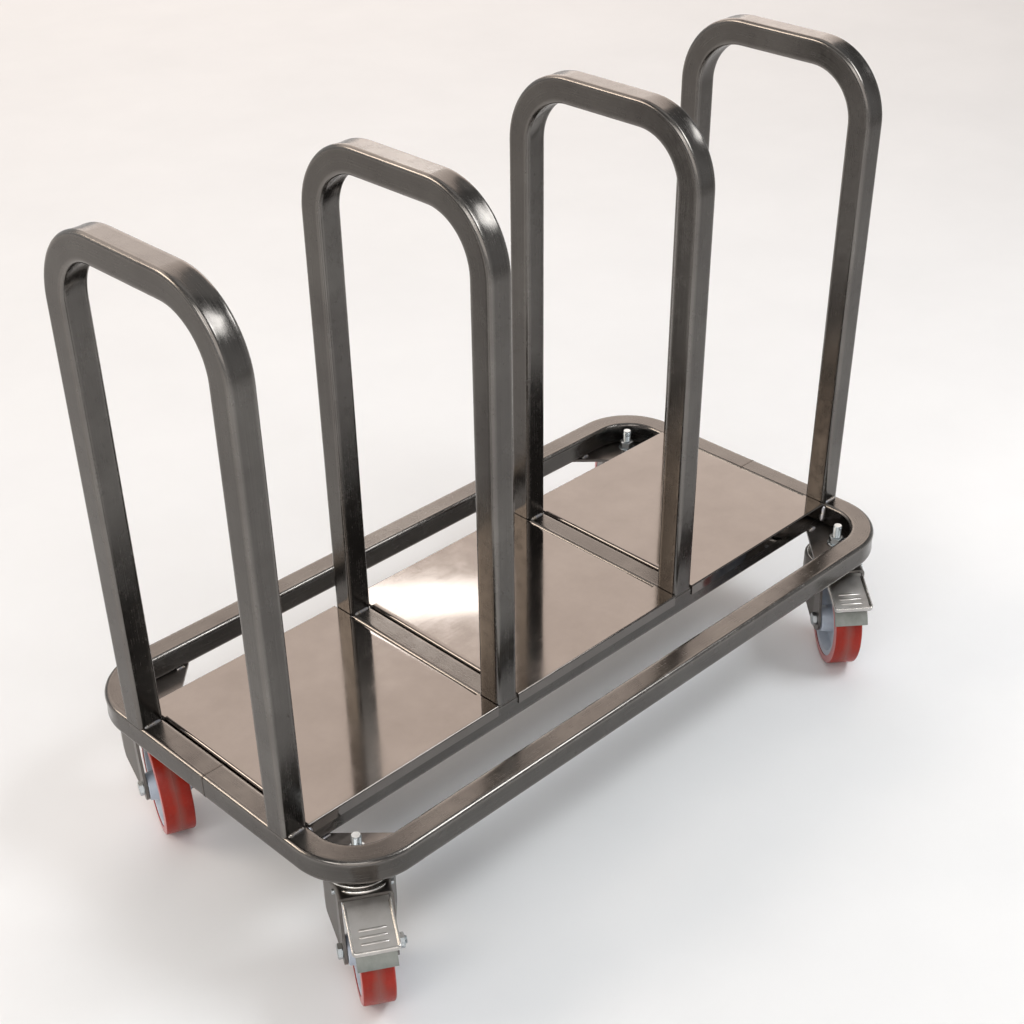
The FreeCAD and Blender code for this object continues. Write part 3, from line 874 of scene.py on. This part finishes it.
# Deck
def build_deck_panel(node):
    """A tray of folded sheet: one long section, with a folded lip and two open corners at each end."""
    low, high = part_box(node)
    side, top = high.y, high.z
    inside, under = side - SHEET, top - SHEET
    lip_half = inside - TUBE - LIP_GAP
    section = [
        (-side, low.z, 0),
        (-side, top, SIDE_FOLD),
        (side, top, SIDE_FOLD),
        (side, low.z, 0),
        (inside, low.z, 0),
        (inside, under, SIDE_FOLD - SHEET),
        (-inside, under, SIDE_FOLD - SHEET),
        (-inside, low.z, 0),
    ]
    corner = [(lip_half, top, 0), *section[2:6], (lip_half, under, 0)]
    reach = 2 * END_FOLD
    lip = [
        (0, top - END_LIP, 0),
        (0, top, END_FOLD),
        (reach, top, 0),
        (reach, under, 0),
        (SHEET, under, END_FOLD - SHEET),
        (SHEET, top - END_LIP, 0),
    ]
    lip_turn = Matrix.Rotation(-math.pi / 2, 4, "Z")
    panel = Shape()
    panel.add(prism(rounded_outline(section, FOLD_STEPS), low.x + reach, high.x - reach))
    for end, turn in ((low.x, 0.0), (high.x, math.pi)):
        place = Matrix.Translation((end, 0, 0)) @ Matrix.Rotation(turn, 4, "Z")
        panel.add(prism(rounded_outline(lip, FOLD_STEPS), -lip_half, lip_half), place @ lip_turn)
        for mirror in (1, -1):
            half = [(mirror * y, z) for y, z in rounded_outline(corner, FOLD_STEPS)]
            panel.add(prism(half, 0, reach), place)
    piece = panel.piece(node + "_folded", SHEET_STEEL)
    level_normals(piece)
    stand_in(piece, node)


for number in (1, 2, 3):
    build_deck_panel("deck_panel_%d" % number)


# Castor pieces
def castor_turn(castor):
    along = JOINTS["roll_" + castor]["axis"]
    return Matrix.Rotation(math.atan2(along[1], along[0]), 4, "Z")


def castor_place(castor):
    """The castor's own frame: king bolt at the origin, floor level, X along the axle, wheel at -Y."""
    x, y = JOINTS["swivel_" + castor]["pos_m"][:2]
    return Matrix.Translation((x, y, 0)) @ castor_turn(castor)


def axle_place(castor):
    """The middle of the axle, with Z along the axle."""
    middle = Matrix.Translation(JOINTS["roll_" + castor]["pos_m"])
    return middle @ castor_turn(castor) @ Matrix.Rotation(math.pi / 2, 4, "Y")


def build_swivel_heads():
    """Races, king bolts, washers and nuts: one piece of each kind for all four castors."""
    bolt_low, bolt_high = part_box("castor_king_bolts")
    washer_low, washer_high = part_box("castor_washers")
    nut_low, nut_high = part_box("castor_king_nuts")
    race_low, race_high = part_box("castor_top_races")
    bore = KING / 2 + BOLT_FIT
    head_top = bolt_low.z + KING_HEAD
    groove = race_high.z - 2 * RACE_GROOVE
    roof = race_high.z - RACE_SHEET
    race = [
        (bore, race_high.z, 0),
        (RACE, race_high.z, RACE_EDGE),
        (RACE, groove + RACE_GROOVE / 2, RACE_GROOVE_LIP),
        (RACE - RACE_GROOVE, groove, RACE_GROOVE_ROUND),
        (RACE, groove - RACE_GROOVE / 2, RACE_EDGE),
        (RACE, race_low.z, RACE_FOOT),
        (RACE - RACE_RIM, race_low.z, RACE_FOOT_INSIDE),
        (RACE - RACE_RIM, roof, RACE_EDGE),
        (bore, roof, 0),
    ]
    washer = [
        (bore, washer_low.z, WASHER_BORE_EDGE),
        (WASHER / 2, washer_low.z, WASHER_EDGE),
        (WASHER / 2, washer_high.z, WASHER_EDGE),
        (bore, washer_high.z, WASHER_BORE_EDGE),
    ]
    bolt = bolt_forms(KING, KING_PITCH, KING_HEX, bolt_low.z, head_top, nut_high.z, bolt_high.z)
    nut = hexagon(KING_HEX, nut_low.z, nut_high.z, KING / 2)
    heads = [
        ("castor_top_races", CASTOR_STEEL, "castor_steel", [lathe(race)]),
        ("castor_king_bolts", ZINC, "zinc_fastener", bolt),
        ("castor_washers", ZINC, "zinc_fastener", [lathe(washer)]),
        ("castor_king_nuts", ZINC, "zinc_fastener", [nut]),
    ]
    for node, material, slot, forms in heads:
        shape = Shape()
        for castor in CASTORS:
            for form in forms:
                shape.add(form, castor_place(castor))
        stand_in(shape.piece(node + "_turned", material), node)


def build_crown_rims(castor):
    """Pressed rims on the crown of the fork: a ring round the swivel head and a rib across the tongue, in a
    lighter steel as a painted highlight.
    """
    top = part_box("fork_" + castor)[1].z
    section = round_section(CROWN_RIM, CROWN_BEAD, top)
    ring = revolved(lambda angle: section, WHEEL_STEPS, closed=True)
    rib = curved_rib(CROWN_RIB, math.radians(CROWN_RIB_TURN), CROWN_BEAD, top)
    rims = Shape([ring, rib], castor_place(castor))
    # Painted highlight: the rims get the lighter steel.
    piece = rims.piece("crown_rims_" + castor, PAINTED_HIGHLIGHT_STEEL)
    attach(piece, BODY_OF["fork_" + castor])


def build_turned(kind, castor, corners, material):
    """One turned piece of a wheel."""
    node = "%s_%s" % (kind, castor)
    piece = Shape([lathe(corners)], axle_place(castor)).piece(node + "_turned", material)
    stand_in(piece, node)
    return piece


def mark_tread(mesh, to_axle):
    """Stores the way across the tread, and gives its two side faces their own lighter material, a painted sheen.
    """
    mesh.materials.append(PAINTED_SHEEN_TREAD_SIDE)
    side = TREAD_WIDTH / 2 - TREAD_ROUND / 4
    across = mesh.uv_layers.new(name="along")
    for face in mesh.polygons:
        height = (to_axle @ face.center).z
        face.material_index = 1 if abs(height) > side else 0
        for corner, vertex in zip(face.loop_indices, face.vertices):
            across.data[corner].uv = (0.0, (to_axle @ mesh.vertices[vertex].co).z)


def build_wheel(castor):
    """A hub with rim, web and boss, and the tread round it with a mould line in the middle."""
    outside = WHEEL / 2
    hub = outside - TREAD_DEPTH
    rim = hub - HUB_RIM
    boss = HUB_BOSS / 2
    half = TREAD_WIDTH / 2
    hub_right = [
        (SLEEVE / 2, HUB_LENGTH / 2, SLEEVE_EDGE),
        (boss, HUB_LENGTH / 2, HUB_EDGE),
        (boss + HUB_DRAFT, HUB_WEB / 2, HUB_FILLET),
        (rim - HUB_DRAFT, HUB_WEB / 2, HUB_FILLET),
        (rim, half - HUB_RIM_STEP, HUB_EDGE),
        (hub, half - HUB_RIM_STEP, 0),
    ]
    hub_left = [(radius, -height, edge) for radius, height, edge in reversed(hub_right)]
    tread_line = [
        (hub, -half, 0),
        (outside, -half, TREAD_ROUND),
        (outside, -MOULD_LINE_HALF, MOULD_LINE_FOOT),
        (outside + MOULD_LINE, 0, MOULD_LINE_CREST),
        (outside, MOULD_LINE_HALF, MOULD_LINE_FOOT),
        (outside, half, TREAD_ROUND),
        (hub, half, 0),
    ]
    build_turned("wheel_hub", castor, hub_right + hub_left, HUB)
    tread = build_turned("wheel_tread", castor, tread_line, TREAD)
    mark_tread(tread.data, axle_place(castor).inverted())


def build_axle(castor):
    """Bolt head on one side of the fork, nut and thread end on the other."""
    place = axle_place(castor)
    head_low = -FORK_OUTSIDE - AXLE_HEAD
    nut_top = FORK_OUTSIDE + AXLE_NUT
    end = nut_top + AXLE_SHOWS
    bolt = Shape(bolt_forms(AXLE, AXLE_PITCH, AXLE_HEX, head_low, -FORK_OUTSIDE, nut_top, end), place)
    stand_in(bolt.piece("axle_bolt_%s_turned" % castor, ZINC), "axle_bolt_" + castor)
    nut = Shape([hexagon(AXLE_HEX, FORK_OUTSIDE, nut_top, AXLE / 2)], place)
    stand_in(nut.piece("axle_nut_%s_turned" % castor, ZINC), "axle_nut_" + castor)


build_swivel_heads()
for castor in CASTORS:
    build_crown_rims(castor)
    build_wheel(castor)
    build_axle(castor)


# Brake pedals
def pedal_tray():
    """A pressed plate with a raised rim along both sides and the outer end, in the pedal's own frame."""
    half = PEDAL_WIDTH / 2
    lines = []
    for inset in (0.0, PEDAL_SHEET):
        side, outer = half - inset, inset - PEDAL_LENGTH
        corners = [(-side, 0), (-side, outer), (side, outer), (side, 0)]
        radii = [PEDAL_CORNER - inset] * len(corners)
        lines.append(rounded(corners, radii, PEDAL_CORNER_STEPS, closed=False))
    layers = [(lines[0], -PEDAL_SHEET), (lines[0], PEDAL_RIM), (lines[1], PEDAL_RIM), (lines[1], 0.0)]
    count = len(lines[0])
    vertices = [(point.x, point.y, height) for line, height in layers for point in line]
    starts = [layer * count for layer in range(len(layers))]
    faces = []
    for start in starts[:-1]:
        for low in range(start, start + count - 1):
            faces.append((low, low + 1, low + 1 + count, low + count))
    faces.append(tuple(range(count)))
    faces.append(tuple(range(starts[-1], len(vertices))))
    ends = [start + count - 1 for start in reversed(starts)]
    faces.append(tuple(starts + ends))
    return vertices, faces


def pedal_arm(to_pedal, pin):
    """Outline of an arm in the castor's frame: two roots on the tray, and a half round on the pin."""
    roots = [to_pedal @ Vector((0, -out, -PEDAL_SHEET / 2)) for out in (PEDAL_SHEET / 2, PEDAL_ARM_ROOT)]
    outline = [(root.y, root.z) for root in roots]
    for step in range(PEDAL_BOSS_STEPS + 1):
        turn = math.pi * (step / PEDAL_BOSS_STEPS - 0.5)
        outline.append((pin.y + PEDAL_BOSS * math.cos(turn), pin.z + PEDAL_BOSS * math.sin(turn)))
    return outline


def round_edges(piece, material):
    """Rounds the edges of a pressed piece and gives them a lighter material of their own, a painted highlight."""
    piece.data.materials.append(material)
    edge = piece.modifiers.new("edge", "BEVEL")
    edge.width = PEDAL_BEVEL
    edge.segments = PEDAL_BEVEL_STEPS
    edge.limit_method = "ANGLE"
    edge.angle_limit = math.radians(PEDAL_BEVEL_ANGLE)
    edge.material = len(piece.data.materials) - 1


def build_grip(castor, place):
    """Low bars across the pedal tray."""
    across = Matrix.Rotation(math.pi / 2, 4, "Y")
    low = Matrix.Diagonal((1, 1, GRIP_HEIGHT, 1))
    bars = Shape()
    for bar in range(GRIP_BARS):
        out = PEDAL_LENGTH - GRIP_IN - bar * GRIP_PITCH
        spot = place @ Matrix.Translation((0, -out, 0))
        bars.add(rod(GRIP_BAR, -GRIP_LENGTH / 2, GRIP_LENGTH / 2, GRIP_EDGE), spot @ low @ across)
    grip = bars.piece("pedal_grip_" + castor, PEDAL_STEEL)
    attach(grip, "pedal_" + castor)


def build_pedal(castor):
    """Pedal tray with a flap at its inner edge and grip bars, on two arms that reach in to the pin."""
    to_castor = castor_place(castor)
    slope = Matrix.Rotation(math.radians(PEDAL_SLOPE), 4, "X")
    to_pedal = Matrix.Translation((0, -PEDAL_OUT, PEDAL_Z)) @ slope
    place = to_castor @ to_pedal
    pin = to_castor.inverted() @ Vector(JOINTS["brake_" + castor]["pos_m"])
    pedal = Shape([pedal_tray()], place)
    arm = pedal_arm(to_pedal, pin)
    for start in (-PEDAL_ARM_OUTSIDE, PEDAL_ARM_OUTSIDE - PEDAL_ARM):
        pedal.add(prism(arm, start, start + PEDAL_ARM), to_castor)
    flap = [(PEDAL_FLAP, 0), (PEDAL_FLAP, -PEDAL_SHEET), (-PEDAL_SHEET, -PEDAL_SHEET), (-PEDAL_SHEET, 0)]
    pedal.add(prism(flap, -PEDAL_ARM_OUTSIDE, PEDAL_ARM_OUTSIDE), place)
    piece = pedal.piece("brake_pedal_%s_pressed" % castor, PEDAL_STEEL)
    # Painted highlight: the rounded edges get the lighter steel.
    round_edges(piece, PAINTED_HIGHLIGHT_STEEL)
    level_normals(piece)
    stand_in(piece, "brake_pedal_" + castor)
    build_grip(castor, place)


for castor in BRAKED:
    build_pedal(castor)


# Looks of the nodes that keep their own shape
def dress(node, material):
    slots = nodes[node].data.materials
    slots.clear()
    slots.append(material)


dress("castor_lower_races", CASTOR_STEEL)
for castor in CASTORS:
    dress("corner_plate_" + castor, PLATE_STEEL)
    dress("fork_" + castor, CASTOR_STEEL)
    dress("race_balls_" + castor, BEARING)
    dress("axle_sleeve_" + castor, BEARING)
for castor in BRAKED:
    dress("brake_shoe_" + castor, SHOE_STEEL)
    dress("brake_pin_" + castor, ZINC)


# Studio: floor, world, lamps and camera
def build_floor():
    turns = [2 * math.pi * step / FLOOR_STEPS for step in range(FLOOR_STEPS)]
    rim = [(FLOOR_RADIUS * math.cos(turn), FLOOR_RADIUS * math.sin(turn), 0) for turn in turns]
    add_piece("floor", rim, [tuple(range(FLOOR_STEPS))], FLOOR_PAINT)


def build_world():
    """Dim above, with a pale band at the horizon that fades upwards."""
    n = Nodes(bpy.data.worlds.new("studio"), "Background")
    up = n.part_of(n.add("ShaderNodeTexCoord", output="Generated"), "Z")
    n.set("Color", WHITE)
    n.set("Strength", n.between(up, HORIZON_GLOW, OVERHEAD_GLOW, *GLOW_FADE, shape="SMOOTHSTEP"))
    bpy.context.scene.world = n.owner


def build_lamps():
    for name, aim, azimuth, elevation, distance, size, radiance, colour in LAMPS:
        data = bpy.data.lights.new(name, "AREA")
        data.shape = "RECTANGLE"
        data.size, data.size_y = size
        data.energy = radiance * math.pi * size[0] * size[1]
        data.color = colour
        lamp = bpy.data.objects.new(name, data)
        turn, lift = math.radians(azimuth), math.radians(elevation)
        way = Vector((math.cos(turn) * math.cos(lift), math.sin(turn) * math.cos(lift), math.sin(lift)))
        lamp.location = aim + way * distance
        lamp.rotation_euler = way.to_track_quat("Z", "Y").to_euler()
        lamp.visible_camera = False
        bpy.context.scene.collection.objects.link(lamp)


def build_camera():
    data = bpy.data.cameras.new("photo_camera")
    data.lens = FOCAL_PIXELS / PICTURE * data.sensor_width
    data.shift_x = (PICTURE / 2 - CENTRE_PIXEL[0]) / PICTURE
    data.shift_y = (CENTRE_PIXEL[1] - PICTURE / 2) / PICTURE
    camera = bpy.data.objects.new("photo_camera", data)
    ahead = (CAMERA_AIM - CAMERA_PLACE).normalized()
    level_right = ahead.cross(Vector((0, 0, 1))).normalized()
    level_up = level_right.cross(ahead)
    roll = math.radians(CAMERA_ROLL)
    right = level_right * math.cos(roll) + level_up * math.sin(roll)
    up = right.cross(ahead)
    turn = Matrix((right, up, -ahead)).transposed().to_4x4()
    camera.matrix_world = Matrix.Translation(CAMERA_PLACE) @ turn
    bpy.context.scene.collection.objects.link(camera)
    bpy.context.scene.camera = camera


build_floor()
build_world()
build_lamps()
build_camera()
bpy.context.scene.view_settings.view_transform = "Standard"
